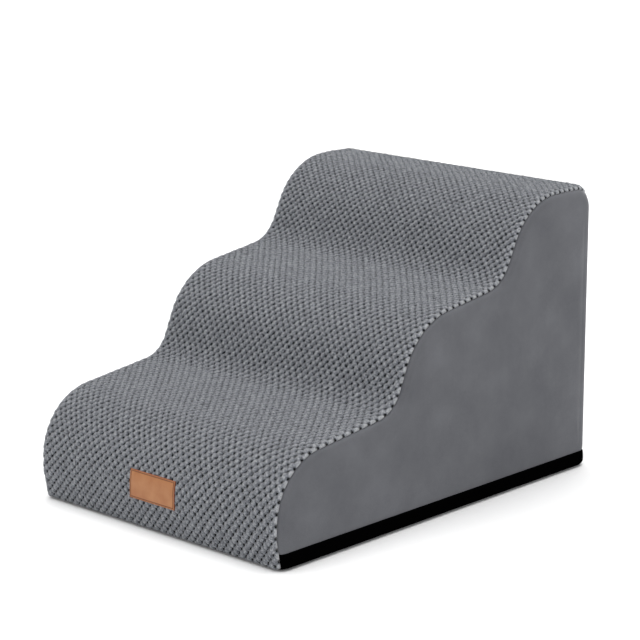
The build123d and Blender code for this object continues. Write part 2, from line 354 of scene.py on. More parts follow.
def knit_place(u, s):
    """The knit's points, each with its yarn's painted shade and its place in the lattice as its mark."""
    edge = np.minimum(seam_u - np.abs(u), knit_end - s)
    height, braid_at, bump_at, row_at = bumps(u, s)
    ridge = SEAM_RIDGE * np.exp(-(((edge - RIDGE_IN) / RIDGE_IN) ** 2))
    near = np.exp(-((edge / RIDGE_IN) ** 2))
    bite = (0.5 + 0.5 * np.cos(math.pi * row_at)) ** NOTCH_SHARP
    notch = bite * np.exp(-((edge / NOTCH_IN) ** 2))
    height = (height + (RIDGE_LEVEL - height) * RIDGE_EVENS * near) * (1 - NOTCH_DEEP * notch)
    height += (HEM_LEVEL - height) * np.exp(-(((s - knit_start) / HEM) ** 2))
    under = np.minimum(label_high.x - np.abs(u), np.minimum(s - label_start, label_end - s))
    height = np.minimum(height, np.interp(under, (0, PRESS_SOFT), (TALLEST, 1 - PRESSED)))
    turned = (1 - np.clip(edge / EDGE_TURN, 0, 1)) ** 2
    lift = PROUD - RELIEF * (1 - height) + ridge
    points = on_skin(u, s, lift - (lift + EDGE_DEEP) * turned)
    points += uneven_at(points, FLUFF_SIZE, 5)[:, None] * FLUFF
    # The yarn is darker the lower it lies: partly the dark ground yarn, partly painted shade. A highlight
    # is painted on the fringe by the seams, and shade is painted in the notches.
    mark = (1 - SEAM_HIGHLIGHT) * (0.5 + 0.5 * height) + SEAM_HIGHLIGHT * near - notch
    return np.column_stack([points, mark, braid_at, bump_at])


turn_lines = EDGE_TURN * np.array([0.35, 0.7])
knit = cloth(
    "knit_tread_cover",
    np.union1d(np.linspace(-seam_u, seam_u, KNIT_LINES[0]), [turn_lines - seam_u, seam_u - turn_lines]),
    np.union1d(np.linspace(knit_start, knit_end, KNIT_LINES[1]), knit_end - turn_lines),
    knit_place,
)

# Brushed polyester yarn: matt and slightly hairy. It is painted darker the deeper a point lies, partly for
# the dark ground yarn in the gaps and partly as painted shade in the gaps and pits, and paler on the
# crests.
# Its plies are 1.1 mm apart, and its tufts 2.2 mm. A shade is how far a groove reaches into a bump, and how
# much painted shade it lays on the yarn.
PLY = 0.0011
PLY_SLANT = math.radians(35)
FIBRE = 0.0022
FIBRE_SHADE = 1.7
BRAID_SHADE = 0.19, -0.15
BUMP_SHADE = 0.27, -0.07
PIT_SHADE = -0.68
YARN_STOPS = (
    (0.0, "040405"),
    (0.2, "26282d"),
    (0.36, "5e6167"),
    (0.52, "787b81"),
    (0.7, "8a8d93"),
    (1.0, "bcbec2"),
)
yarn, shader = finish_named(
    "brushed_polyester_yarn",
    {"Roughness": 0.95, "Specular IOR Level": 0.1, "Sheen Weight": 0.45, "Sheen Roughness": 0.3},
)
place = add(yarn, "TexCoord").outputs["Object"]
fluff = add(yarn, "TexNoise", {"Vector": place, "Scale": 1 / FIBRE, "Detail": 3.0, "Roughness": 0.65})
centred = {0: fluff.outputs["Fac"], 1: FIBRE_SHADE, 2: -FIBRE_SHADE / 2}
shift = add(yarn, "Math", centred, operation="MULTIPLY_ADD")
mark = add(yarn, "Attribute", attribute_name="mark").outputs["Vector"]
lattice = add(yarn, "SeparateXYZ", {"Vector": mark}).outputs
level = add(yarn, "Math", {0: lattice["X"], 1: shift.outputs[0]}, operation="ADD").outputs[0]
# Painted shade along both sets of grooves, and deeper painted shade in the pits where they cross.
grooves = []
for axis, (share, shade) in (("Y", BRAID_SHADE), ("Z", BUMP_SHADE)):
    off = add(yarn, "Math", {0: lattice[axis], 1: 0.5}, operation="PINGPONG").outputs[0]
    spread = {"Value": off, "From Min": 0.5 - share, "From Max": 0.5}
    grooves.append(add(yarn, "MapRange", spread, interpolation_type="SMOOTHSTEP").outputs[0])
    level = add(yarn, "Math", {0: grooves[-1], 1: shade, 2: level}, operation="MULTIPLY_ADD").outputs[0]
pit = add(yarn, "Math", {0: grooves[0], 1: grooves[1]}, operation="MULTIPLY").outputs[0]
level = add(yarn, "Math", {0: pit, 1: PIT_SHADE, 2: level}, operation="MULTIPLY_ADD").outputs[0]
tint = add(yarn, "ValToRGB", {"Fac": level}, stops=YARN_STOPS)
uv = add(yarn, "UVMap", uv_map="cloth").outputs["UV"]
turned = add(yarn, "Mapping", {"Vector": uv, "Rotation": (0, 0, PLY_SLANT)}).outputs["Vector"]
wound = {"Vector": turned, "Scale": 1 / PLY / WAVE_TURNS, "Distortion": 3.0, "Detail": 2.0}
plies = add(yarn, "TexWave", wound)
rough = add(yarn, "Math", {0: plies.outputs["Fac"], 1: fluff.outputs["Fac"]}, operation="ADD")
relief = add(yarn, "Bump", {"Height": rough.outputs[0], "Distance": PLY, "Strength": 0.8})
join(yarn, shader, {"Base Color": tint.outputs["Color"], "Normal": relief.outputs["Normal"]})
set_in_place(knit, yarn, "stairs", "knit_fabric", "tread_panel")

# Side panels. Smooth short-pile plush in dark grey, cut to the outline of the steps. Each is
# sewn to the knit halfway round the rolled edge and to the band below, and swells slightly
# over the foam between its seams.

BAND_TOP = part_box("base_band")[1].z
SEAM_SOFT = 0.0019
CORNER_GAP = 0.002
SIDE_DIP = 0.0014
CORNER_SOFT = 0.012
UPRIGHT_DIP = 0.0009
BAND_DIP = 0.0012
SWELL = 0.0012
SWELL_SOFT = 0.03
RIPPLE = 0.0007
RIPPLE_SIZE = 0.07
ROLL_LINES = 9
SIDE_LINES = 420
SIDE_ROWS = 44
FOLLOW = 0.6
side_start = arc_at(lambda y, z: (y < 0) & (z > BAND_TOP))
side_end = arc_at(lambda y, z: (even_s > even_s[-1] / 2) & (y > 0) & (z < BAND_TOP))
roll_lines = np.linspace(seam_u, side_u, ROLL_LINES)
side_ends = on_skin(np.full(2, side_u), np.array([side_start, side_end]), 0)[:, 1]
side_ends += np.array([CORNER_GAP, -CORNER_GAP])


def side_place(u, s):
    """The side: round the rolled edge as far as side_u, and then one row for each 1 of u to the band."""
    deepest = np.where(s > back_turn_s, UPRIGHT_DIP, SIDE_DIP)
    dip = deepest * np.exp(-(((u - seam_u) / SEAM_SOFT) ** 2))
    ring = on_skin(np.minimum(u, side_u), s, -dip)
    low = on_skin(np.minimum(u, side_u), np.full(len(u), side_start), -dip)[:, 2]
    ring[:, 2] -= np.maximum(low - BAND_TOP, 0) * np.exp(-(s - side_start) / CORNER_SOFT)
    share = np.clip(u - side_u, 0, None) / (SIDE_ROWS - 1)
    foot_y = np.interp(s, [side_start, side_end], side_ends)
    foot_y += FOLLOW * (np.clip(ring[:, 1], *side_ends) - foot_y)
    points = ring.copy()
    points[:, 1] += (foot_y - ring[:, 1]) * share
    points[:, 2] += (BAND_TOP - ring[:, 2]) * share
    over_band = np.maximum(points[:, 2] - BAND_TOP, 0)
    inside = np.minimum(np.linalg.norm(points - ring, axis=1), over_band)
    free = 1 - np.exp(-((inside / SWELL_SOFT) ** 2))
    ripple = RIPPLE * uneven_at(points, RIPPLE_SIZE, 3)
    band_dip = BAND_DIP * np.exp(-((over_band / SEAM_SOFT) ** 2))
    angle = np.clip((u - flat_half) / ROLL, 0, math.pi / 2)
    points[:, 0] += (free * (SWELL + ripple) - band_dip) * np.sin(angle)
    return points


# Polyester plush: short dense pile in a dark middle grey, paler where it turns away from the
# eye, and laid unevenly in patches a few centimetres wide. Its fibres are drawn at 1 mm.
PILE = 0.001
PATCH = 0.07
PATCH_SHARE = 0.6
PLUSH_STOPS = ((0.3, "55565b"), (0.5, "616266"), (0.7, "6d6e73"))
plush, shader = finish_named(
    "short_pile_plush",
    {
        "Roughness": 0.95,
        "Specular IOR Level": 0.15,
        "Sheen Weight": 0.35,
        "Sheen Roughness": 0.4,
        "Sheen Tint": linear("d8d9dc"),
    },
)
place = add(plush, "TexCoord").outputs["Object"]
pile = add(plush, "TexNoise", {"Vector": place, "Scale": 1 / PILE, "Detail": 2.0, "Roughness": 0.7})
lay = add(plush, "TexNoise", {"Vector": place, "Scale": 1 / PATCH, "Detail": 4.0, "Roughness": 0.6})
both = add(plush, "Mix", {0: PATCH_SHARE, 2: pile.outputs["Fac"], 3: lay.outputs["Fac"]})
tint = add(plush, "ValToRGB", {"Fac": both.outputs[0]}, stops=PLUSH_STOPS)
relief = add(plush, "Bump", {"Height": pile.outputs["Fac"], "Distance": 0.0004, "Strength": 0.4})
join(plush, shader, {"Base Color": tint.outputs["Color"], "Normal": relief.outputs["Normal"]})

for name, sign in (("left", -1), ("right", 1)):
    panel = cloth(
        f"plush_side_cover_{name}",
        np.concatenate([roll_lines, side_u + np.arange(1, SIDE_ROWS)]),
        np.linspace(side_start, side_end, SIDE_LINES),
        side_place,
    )
    if sign < 0:
        panel.data.transform(Matrix.Scale(-1, 4, (1, 0, 0)))
        panel.data.flip_normals()
    set_in_place(panel, plush, "stairs", "side_fabric", f"side_panel_{name}")

# Back panel. The same plush, flat down the back and rolled over its top and side edges to the
# seams. Its lower edge is folded in round the zip's opening.

ZIP_Z = (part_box("zip_coil_lower")[0].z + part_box("zip_coil_upper")[1].z) / 2
SLOT_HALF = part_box("zip_tape_upper")[1].x
SLOT_TOP = 2 * ZIP_Z - BAND_TOP
TAPE_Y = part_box("zip_tape_upper")[1].y
FOLD = 0.0022
CORNER_RUN = 0.024
FOLD_LINES = np.array([0, 0.15, 0.4, 0.8, 1.3, 2.0, 3.0]) / 1000
slot_s = side_end - (SLOT_TOP - BAND_TOP)


def back_place(u, s):
    """The back: dipped along its seams, and turned in to the tape round the zip's opening."""
    dip = UPRIGHT_DIP * np.exp(-(((seam_u - np.abs(u)) / SEAM_SOFT) ** 2))
    dip = np.maximum(dip, UPRIGHT_DIP * np.exp(-(((s - knit_end) / SEAM_SOFT) ** 2)))
    band = np.where(np.abs(u) > SLOT_HALF, side_end - s, 1)
    dip = np.maximum(dip, BAND_DIP * np.exp(-((np.maximum(band, 0) / SEAM_SOFT) ** 2)))
    slot = np.hypot(np.maximum(np.abs(u) - SLOT_HALF, 0), np.maximum(slot_s - s, 0))
    turned_in = np.clip(slot / FOLD, 0, 1)
    dip = np.maximum(dip, (BACK_Y - TAPE_Y) * (1 - np.sqrt(1 - (1 - turned_in) ** 2)))
    return on_skin(u, s, -dip)


wide = np.concatenate(
    [
        np.linspace(0, SLOT_HALF, 84)[:-1],
        SLOT_HALF + FOLD_LINES,
        np.linspace(SLOT_HALF + FOLD_LINES[-1], flat_half, 6)[1:],
        np.linspace(flat_half, seam_u, 9)[1:],
    ]
)
corner_end = knit_end + CORNER_RUN
down = np.concatenate(
    [
        np.linspace(knit_end, corner_end, 12),
        np.linspace(corner_end, slot_s, 90)[1:-2],
        slot_s - FOLD_LINES[::-1],
        np.linspace(slot_s, side_end, 9)[1:],
    ]
)
back = cloth(
    "plush_back_cover",
    np.concatenate([-wide[:0:-1], wide]),
    down,
    back_place,
    keep=lambda u, s: abs(u) > SLOT_HALF or s < slot_s,
)
set_in_place(back, plush, "stairs", "side_fabric", "back_panel")

# Base band. A black woven strip, 20 mm high, sewn below the side panels and the back and
# turned under at the floor. It bulges a little beyond the plush above it.

BULGE = 0.0011
BULGE_BLUNT = 0.7
BAND_RIPPLE = 0.0003
BAND_RIPPLE_SIZE = 0.02
SLOT_DIP = 0.0018
BAND_SOFT = 0.0012
BAND_LINES = 190
CURL = math.radians(70)
UNDER_PLUSH = np.array([3.0, 2.2, 1.5, 1.0, 0.5, 0]) / 1000
foot_reach = BACK_Y - BACK_ROLL
back_half = HALF_WIDTH - BACK_ROLL
band_side = foot_reach - (front_y + ROLL)
band_lengths = np.cumsum([0, back_half, BACK_ROLL * math.pi / 2, band_side, ROLL * HALFWAY])
front_at = even[even_s < even_s[-1] / 3]


def round_foot(t, height, reach):
    """Points round the foot: t runs from the middle of the back along one side to the front seam."""
    _, corner, side, front, _ = band_lengths
    far = np.abs(t)
    bend = np.clip((far - corner) / BACK_ROLL, 0, math.pi / 2)
    run = np.clip((far - side) / band_side, 0, 1)
    turn = np.clip((far - front) / ROLL, 0, HALFWAY)
    tall = np.maximum(height, FOOT_Z + FOOT_ROUND)
    near_y = np.interp(tall, front_at[:, 1], front_at[:, 0])
    x = np.minimum(far, back_half) + (BACK_ROLL + reach) * np.sin(bend)
    x -= (ROLL + reach) * (1 - np.cos(turn))
    y = foot_reach + (BACK_ROLL + reach) * np.cos(bend)
    y += (near_y + ROLL - foot_reach) * run
    y -= (ROLL + reach) * np.sin(turn)
    return np.stack([np.sign(t) * x, y, height], -1)


def band_place(t, w):
    """The band: w runs up from 0 where the foot's round ends, and down round the foot below 0."""
    foot = np.clip(w, None, 0)
    angle = foot / FOOT_ROUND
    height = np.where(w < 0, FOOT_Z + FOOT_ROUND * (1 + np.sin(angle)), FOOT_Z + FOOT_ROUND + w)
    reach = -FOOT_ROUND * (1 - np.cos(angle))
    share = np.clip((height - FOOT_Z) / (BAND_TOP - FOOT_Z), 0, 1)
    reach += BULGE * np.sin(math.pi * share) ** BULGE_BLUNT
    deepest = np.where(np.abs(t) < SLOT_HALF, SLOT_DIP, BAND_DIP)
    reach -= deepest * np.exp(-(((BAND_TOP - height) / BAND_SOFT) ** 2))
    reach -= SIDE_DIP * np.exp(-(((band_lengths[-1] - np.abs(t)) / SEAM_SOFT) ** 2))
    reach += BAND_RIPPLE * uneven_at(round_foot(t, height, reach), BAND_RIPPLE_SIZE, 7)
    return round_foot(t, height, reach)


# Black polyester oxford: a plain weave of 1 mm threads, nearly black, with no shine of its own.
THREAD = 0.001
oxford, shader = finish_named("black_oxford_weave", {"Roughness": 0.9, "Specular IOR Level": 0.0})
uv = add(oxford, "UVMap", uv_map="cloth").outputs["UV"]
weft = add(oxford, "TexWave", {"Vector": uv, "Scale": 1 / THREAD / WAVE_TURNS}, bands_direction="X")
warp = add(oxford, "TexWave", {"Vector": uv, "Scale": 1 / THREAD / WAVE_TURNS}, bands_direction="Y")
weave = add(oxford, "Math", {0: weft.outputs["Fac"], 1: warp.outputs["Fac"]}, operation="MULTIPLY")
tint = add(oxford, "ValToRGB", {"Fac": weave.outputs[0]}, stops=((0.0, "000000"), (1.0, "0a0a0b")))
relief = add(oxford, "Bump", {"Height": weave.outputs[0], "Distance": 0.0003, "Strength": 0.5})
join(oxford, shader, {"Base Color": tint.outputs["Color"], "Normal": relief.outputs["Normal"]})

upright = BAND_TOP - FOOT_Z - FOOT_ROUND
profile = np.concatenate(
    [
        -FOOT_ROUND * np.linspace(CURL, 0, 9),
        np.linspace(0, upright - UNDER_PLUSH[0], 7)[1:],
        upright - UNDER_PLUSH[1:],
    ]
)
half_run = np.linspace(0, band_lengths[-1], BAND_LINES)
band = cloth("oxford_base_band", np.concatenate([-half_run[:0:-1], half_run]), profile, band_place)
set_in_place(band, oxford, "stairs", "base_fabric", "base_band")

# Base sheet. Black non-slip cloth, stretched flat under the foam and turned up at its rim to
# the band, with moulded rubber grip dots in staggered rows.

# How far the rim goes out and up, tucked inside the band's and the knit's lower edges.
RIM = ((0.0012, 0.00015), (0.0014, 0.00105), (0.0014, 0.002))
KNIT_GAP = 0.002
base_front = np.interp(knit_start, even_s, even[:, 0]) + KNIT_GAP
base_back = BACK_Y - FOOT_ROUND
base_half = HALF_WIDTH - FOOT_ROUND
base = bmesh.new()
bmesh.ops.create_grid(base, x_segments=1, y_segments=1, size=1)
half_long = (base_back - base_front) / 2
bmesh.ops.scale(base, vec=(base_half, half_long, 1), verts=base.verts)
bmesh.ops.translate(base, vec=(0, base_back - half_long, FOOT_Z), verts=base.verts)
for corner_verts, radius in (
    ([v for v in base.verts if v.co.y > 0], BACK_ROLL - FOOT_ROUND),
    ([v for v in base.verts if v.co.y < 0], ROLL - FOOT_ROUND),
):
    bmesh.ops.bevel(
        base, geom=corner_verts, offset=radius, segments=8, profile=0.5, affect="VERTICES", material=-1
    )
bmesh.ops.reverse_faces(base, faces=base.faces)
for out, up in RIM:
    rim = [e for e in base.edges if e.is_boundary]
    before = {v: v.co.copy() for e in rim for v in e.verts}
    ways = {v: Vector((0, 0, 0)) for v in before}
    for edge in rim:
        run = edge.verts[1].co - edge.verts[0].co
        side = Vector((run.y, -run.x, 0)).normalized()
        middle = (edge.verts[0].co + edge.verts[1].co) / 2
        side *= 1 if side.dot(middle) > 0 else -1
        for vert in edge.verts:
            ways[vert] += side
    grown = bmesh.ops.extrude_edge_only(base, edges=rim)["geom"]
    moved = [g for g in grown if isinstance(g, bmesh.types.BMVert)]
    for vert in moved:
        start = min(before, key=lambda v: (before[v] - vert.co).length_squared)
        vert.co += ways[start].normalized() * out + Vector((0, 0, up))
base_sheet = finished("nonslip_base_cover", base, smooth=False)

# Non-slip base cloth: black, matt, with a fine pebbled face 1.5 mm from grain to grain.
PEBBLE = 0.0015
pebbled, shader = finish_named("pebbled_nonslip_cloth", {"Roughness": 0.8, "Specular IOR Level": 0.2})
place = add(pebbled, "TexCoord").outputs["Object"]
grains = add(pebbled, "TexVoronoi", {"Vector": place, "Scale": 1 / PEBBLE}).outputs["Distance"]
tint = add(pebbled, "ValToRGB", {"Fac": grains}, stops=((0.0, "1a1a1c"), (1.0, "0a0a0b")))
relief = add(pebbled, "Bump", {"Height": grains, "Distance": 0.0003, "Strength": 0.5}, invert=True)
join(pebbled, shader, {"Base Color": tint.outputs["Color"], "Normal": relief.outputs["Normal"]})
set_in_place(base_sheet, pebbled, "stairs", "base_fabric", "base_panel")

DOT_RADIUS = 0.004
DOT_TIP = 0.0028
DOT_EASE = 0.0004
DOT_SIDES = 18
DOT_PITCH = 0.034
DOT_MARGIN = 0.026
row_pitch = DOT_PITCH * math.sin(math.radians(60))
columns = int((HALF_WIDTH - DOT_MARGIN) / DOT_PITCH)
rows = int((min(-front_y, BACK_Y) - DOT_MARGIN) / row_pitch)
dots = bmesh.new()
for row in range(-rows, rows + 1):
    for column in range(-columns, columns + 1):
        x = (column + (row % 2) / 2) * DOT_PITCH
        if abs(x) <= HALF_WIDTH - DOT_MARGIN:
            spot = Matrix.Translation((x, row * row_pitch, FOOT_Z / 2))
            bmesh.ops.create_cone(
                dots,
                cap_ends=True,
                segments=DOT_SIDES,
                radius1=DOT_TIP,
                radius2=DOT_RADIUS,
                depth=FOOT_Z,
                matrix=spot,
            )
rims = [e for e in dots.edges if all(v.co.z < FOOT_Z / 2 for v in e.verts)]
bmesh.ops.bevel(dots, geom=rims, offset=DOT_EASE, segments=2, profile=0.5, affect="EDGES", material=-1)
grip = finished("rubber_grip_dots", dots)

# Moulded rubber: dark grey and dull, its tone cloudy every 2 mm.
RUBBER_CLOUD = 0.002
rubber, shader = finish_named("moulded_rubber", {"Roughness": 0.6})
place = add(rubber, "TexCoord").outputs["Object"]
skin = add(rubber, "TexNoise", {"Vector": place, "Scale": 1 / RUBBER_CLOUD, "Detail": 2.0}).outputs["Fac"]
tint = add(rubber, "ValToRGB", {"Fac": skin}, stops=((0.3, "19191b"), (0.7, "232325")))
join(rubber, shader, {"Base Color": tint.outputs["Color"]})
set_in_place(grip, rubber, "stairs", "base_fabric")

# Label. A small patch of tan leather, sewn flat on the front with brown thread. Its cut edge
# is paler than its face, and the stitching pulls a groove into it. It is left blank.

LABEL_HALF = label_high.x
LABEL_THICK = 0.0016
EDGE_ROUND = 0.0005
PILLOW = 0.00035
PILLOW_RUN = 0.006
WARP = 0.00015
WARP_SIZE = 0.012
STITCH_INSET = 0.002
GROOVE_DEEP = 0.0004
GROOVE_SOFT = 0.0005
PATCH_STEP = 0.0011
# Grid lines in from the label's edge, with the last one just outside it, at the foot of its wall.
RIM_LINES = np.array([2.8, 2.4, 2.0, 1.6, 1.2, 0.8, 0.5, 0.32, 0.16, 0.05, 0, -0.01]) / 1000
label_middle = (label_start + label_end) / 2
label_rise = (label_end - label_start) / 2


def label_place(u, s):
    """The label: rounded at its edge, grooved by its stitches and swollen a little inside them."""
    edge = np.minimum(LABEL_HALF - np.abs(u), label_rise - np.abs(s - label_middle))
    lift = LABEL_THICK - EDGE_ROUND * (1 - np.sqrt(1 - (1 - np.clip(edge / EDGE_ROUND, 0, 1)) ** 2))
    groove = np.exp(-(((edge - STITCH_INSET) / GROOVE_SOFT) ** 2))
    lift += PILLOW * np.clip((edge - STITCH_INSET) / PILLOW_RUN, 0, 1) - GROOVE_DEEP * groove
    lift += WARP * uneven_at(np.stack([u, s, u * 0], 1), WARP_SIZE, 1)
    lift = np.where(edge < RIM_LINES[-1] / 2, 0, lift)
    mark = np.where(edge < EDGE_ROUND, 0.0, 1.0) - 0.5 * groove
    return np.column_stack([on_skin(u, s, lift), mark])


def patch_lines(half):
    """Grid lines over a patch from its middle: close together at its edge, and one for its wall."""
    inner = np.arange(0, half - RIM_LINES[0], PATCH_STEP)
    right = np.concatenate([inner, half - RIM_LINES])
    return np.concatenate([-right[:0:-1], right])


label = cloth(
    "leather_label",
    patch_lines(LABEL_HALF),
    label_middle + patch_lines(label_rise),
    label_place,
    closed=True,
)

# Vegetable-tanned leather, smooth: warm tan with a soft shine, a 0.9 mm grain and a cloudy tone.
# Its cut edge is pale, and the groove under its stitches is dark.
GRAIN = 0.0009
CLOUD = 0.018
EDGE_STOPS = ((0.0, "cf9a6c"), (0.4, "7d4520"), (0.6, "8a4f28"), (0.95, "ffffff"))
leather, shader = finish_named("smooth_tan_leather", {"Roughness": 0.5, "IOR": 1.48})
place = add(leather, "TexCoord").outputs["Object"]
pores = add(leather, "TexVoronoi", {"Vector": place, "Scale": 1 / GRAIN}).outputs["Distance"]
cloud = add(leather, "TexNoise", {"Vector": place, "Scale": 1 / CLOUD, "Detail": 3.0}).outputs["Fac"]
tint = add(leather, "ValToRGB", {"Fac": cloud}, stops=((0.3, "985f34"), (0.7, "a77246")))
face = add(leather, "Attribute", attribute_name="mark").outputs["Fac"]
rim = add(leather, "ValToRGB", {"Fac": face}, stops=EDGE_STOPS)
layers = {0: 1.0, 6: tint.outputs["Color"], 7: rim.outputs["Color"]}
worn = add(leather, "Mix", layers, data_type="RGBA", blend_type="MULTIPLY")
relief = add(leather, "Bump", {"Height": pores, "Distance": 0.0002, "Strength": 0.35})
join(leather, shader, {"Base Color": worn.outputs[2], "Normal": relief.outputs["Normal"]})
set_in_place(label, leather, "stairs", "label_leather", "label_patch")

AHEAD = 1 / 99


def stitches(name, ends, place, length, gap, thickness):
    """A line of sewn stitches along corner points, each a slim bead laid on place(u, v).

    A bead is turned towards the point that is a share AHEAD of a stitch further on.
    """
    share = length / (length + gap)
    beads = bmesh.new()
    for start, end in zip(ends, ends[1:]):
        start, end = Vector(start), Vector(end)
        count = max(1, round((end - start).length / (length + gap)))
        step = (end - start) / count
        for i in range(count):
            mid = start + step * (i + 0.5)
            us = np.array([mid.x, mid.x + step.x * AHEAD])
            vs = np.array([mid.y, mid.y + step.y * AHEAD])
            seat, ahead = place(us, vs)
            turn = Vector(ahead - seat).to_track_quat("X", "Z").to_matrix().to_4x4()
            size = Matrix.Diagonal((step.length / 2 * share, thickness / 2, thickness / 2, 1))
            spot = Matrix.Translation(seat) @ turn @ size
            bmesh.ops.create_uvsphere(beads, u_segments=8, v_segments=6, radius=1, matrix=spot)
    return finished(name, beads)


THREAD_PLY = 0.0005


def sewing_thread(name, dark, light):
    """Bonded polyester thread: slightly glossy, twisted, with plies 0.5 mm apart."""
    material, shader = finish_named(name, {"Roughness": 0.5})
    place = add(material, "TexCoord").outputs["Object"]
    wound = {"Vector": place, "Scale": 1 / THREAD_PLY / WAVE_TURNS}
    twist = add(material, "TexWave", wound, bands_direction="DIAGONAL").outputs["Fac"]
    tint = add(material, "ValToRGB", {"Fac": twist}, stops=((0.0, dark), (1.0, light)))
    relief = add(material, "Bump", {"Height": twist, "Distance": 0.0001, "Strength": 0.5})
    join(material, shader, {"Base Color": tint.outputs["Color"], "Normal": relief.outputs["Normal"]})
    return material


THREAD_SUNK = 0.0002
ROUND_LABEL = ((-1, -1), (1, -1), (1, 1), (-1, 1), (-1, -1))
seam_across = LABEL_HALF - STITCH_INSET
seam_up = label_rise - STITCH_INSET
label_seam = stitches(
    "label_stitches",
    [(a * seam_across, label_middle + b * seam_up) for a, b in ROUND_LABEL],
    lambda u, s: on_skin(u, s, np.full(2, LABEL_THICK - THREAD_SUNK)),
    length=0.0027,
    gap=0.0004,
    thickness=0.0008,
)
brown_thread = sewing_thread("brown_sewing_thread", "5f3113", "82481f")
set_in_place(label_seam, brown_thread, "stairs", "label_thread", "label_stitching")

# Zip. A black coil zip behind the opening: woven tapes, two nylon coils closed on each other,
# metal stops at its ends, a slider and a pull tab, and a row of stitches above and below.

# Woven polyester tape: black ribs 0.8 mm apart along its length.
TAPE_RIB = 0.0008
tape_weave, shader = finish_named("woven_zip_tape", {"Roughness": 0.8})
uv = add(tape_weave, "UVMap", uv_map="cloth").outputs["UV"]
ribs = add(tape_weave, "TexWave", {"Vector": uv, "Scale": 1 / TAPE_RIB / WAVE_TURNS}, bands_direction="Y")
tint = add(tape_weave, "ValToRGB", {"Fac": ribs.outputs["Fac"]}, stops=((0.0, "0b0b0c"), (1.0, "222225")))
relief = add(tape_weave, "Bump", {"Height": ribs.outputs["Fac"], "Distance": 0.0002, "Strength": 0.6})
join(tape_weave, shader, {"Base Color": tint.outputs["Color"], "Normal": relief.outputs["Normal"]})

# Drawn nylon coil: black, smooth and a little glossy, its tone uneven every 4 mm.
NYLON_CLOUD = 0.004
nylon, shader = finish_named("drawn_nylon", {"Roughness": 0.35, "IOR": 1.53})
place = add(nylon, "TexCoord").outputs["Object"]
tone = add(nylon, "TexNoise", {"Vector": place, "Scale": 1 / NYLON_CLOUD}).outputs["Fac"]
tint = add(nylon, "ValToRGB", {"Fac": tone}, stops=((0.3, "101012"), (0.7, "1d1d20")))
join(nylon, shader, {"Base Color": tint.outputs["Color"]})

TAPE_EDGE = 0.0002
RIB_RISE = 0.00006
TAPE_LINES = 80
COIL_PITCH = 0.0014
COIL_WIRE = 0.00035
COIL_STEPS = 10
for side in ("upper", "lower"):
    low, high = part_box("zip_tape_" + side)

    def tape_place(u, v):
        """The tape's ribbed face, which goes back to its rear along the rim."""
        rim = np.minimum(np.minimum(high.x - np.abs(u), v - low.z), high.z - v)
        sink = (high.y - low.y) * (1 - np.clip(rim / TAPE_EDGE, 0, 1))
        return np.stack([u, high.y - sink + RIB_RISE * np.cos(v / TAPE_RIB * 2 * math.pi), v], 1)

    rows = np.arange(low.z + TAPE_EDGE, high.z - TAPE_EDGE, TAPE_RIB / 2)
    across = np.concatenate([[low.z], rows, [high.z]])
    inner = high.x - TAPE_EDGE
    run = np.concatenate([[-high.x], np.linspace(-inner, inner, TAPE_LINES), [high.x]])
    tape = cloth("woven_tape_" + side, run, across, tape_place, closed=True)
    set_in_place(tape, tape_weave, "stairs", "zip_tape", "zip_tape_" + side)

    low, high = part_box("zip_coil_" + side)
    centre = (low + high) / 2
    ring = (high.z - low.z) / 2 - COIL_WIRE
    turns = int((high.x - low.x - 2 * COIL_WIRE) / COIL_PITCH)
    start_x = -turns * COIL_PITCH / 2
    coil = bmesh.new()
    stand = Matrix.Translation((start_x, 0, ring)) @ Matrix.Rotation(math.radians(90), 4, "X")
    bmesh.ops.create_circle(coil, cap_ends=False, segments=6, radius=COIL_WIRE, matrix=stand)
    bmesh.ops.spin(
        coil,
        geom=coil.verts[:] + coil.edges[:],
        cent=(start_x, 0, 0),
        axis=(1, 0, 0),
        dvec=(COIL_PITCH / COIL_STEPS, 0, 0),
        angle=2 * math.pi,
        steps=COIL_STEPS,
    )
    one_turn = coil.verts[:] + coil.edges[:] + coil.faces[:]
    for i in range(1, turns):
        more = bmesh.ops.duplicate(coil, geom=one_turn)["geom"]
        moved = [g for g in more if isinstance(g, bmesh.types.BMVert)]
        bmesh.ops.translate(coil, vec=(COIL_PITCH * i, 0, 0), verts=moved)
    bmesh.ops.remove_doubles(coil, verts=coil.verts, dist=COIL_WIRE / 10)
    bmesh.ops.holes_fill(coil, edges=[e for e in coil.edges if e.is_boundary], sides=0)
    bmesh.ops.scale(coil, vec=(1, (high.y - low.y) / (high.z - low.z), 1), verts=coil.verts)
    bmesh.ops.translate(coil, vec=(0, centre.y, centre.z), verts=coil.verts)
    bmesh.ops.recalc_face_normals(coil, faces=coil.faces)
    set_in_place(finished("nylon_coil_" + side, coil), nylon, "stairs", "zip_coil", "zip_coil_" + side)

# Black lacquered zinc: die-cast and smooth, with a soft shine and a tone that is uneven every 3 mm.
LACQUER_CLOUD = 0.003
coated = {"Roughness": 0.32, "Coat Weight": 0.4, "Coat Roughness": 0.2}
lacquer, shader = finish_named("black_lacquered_zinc", coated)
place = add(lacquer, "TexCoord").outputs["Object"]
tone = add(lacquer, "TexNoise", {"Vector": place, "Scale": 1 / LACQUER_CLOUD, "Detail": 3.0}).outputs["Fac"]
tint = add(lacquer, "ValToRGB", {"Fac": tone}, stops=((0.3, "1b1b1e"), (0.7, "2a2a2e")))
relief = add(lacquer, "Bump", {"Height": tone, "Distance": 0.0001, "Strength": 0.2})
join(lacquer, shader, {"Base Color": tint.outputs["Color"], "Normal": relief.outputs["Normal"]})
give(nodes["zip_slider"], lacquer)
give(nodes["zip_pull"], lacquer)

STOP_EASE = 0.18
STOP_GAP = 0.001


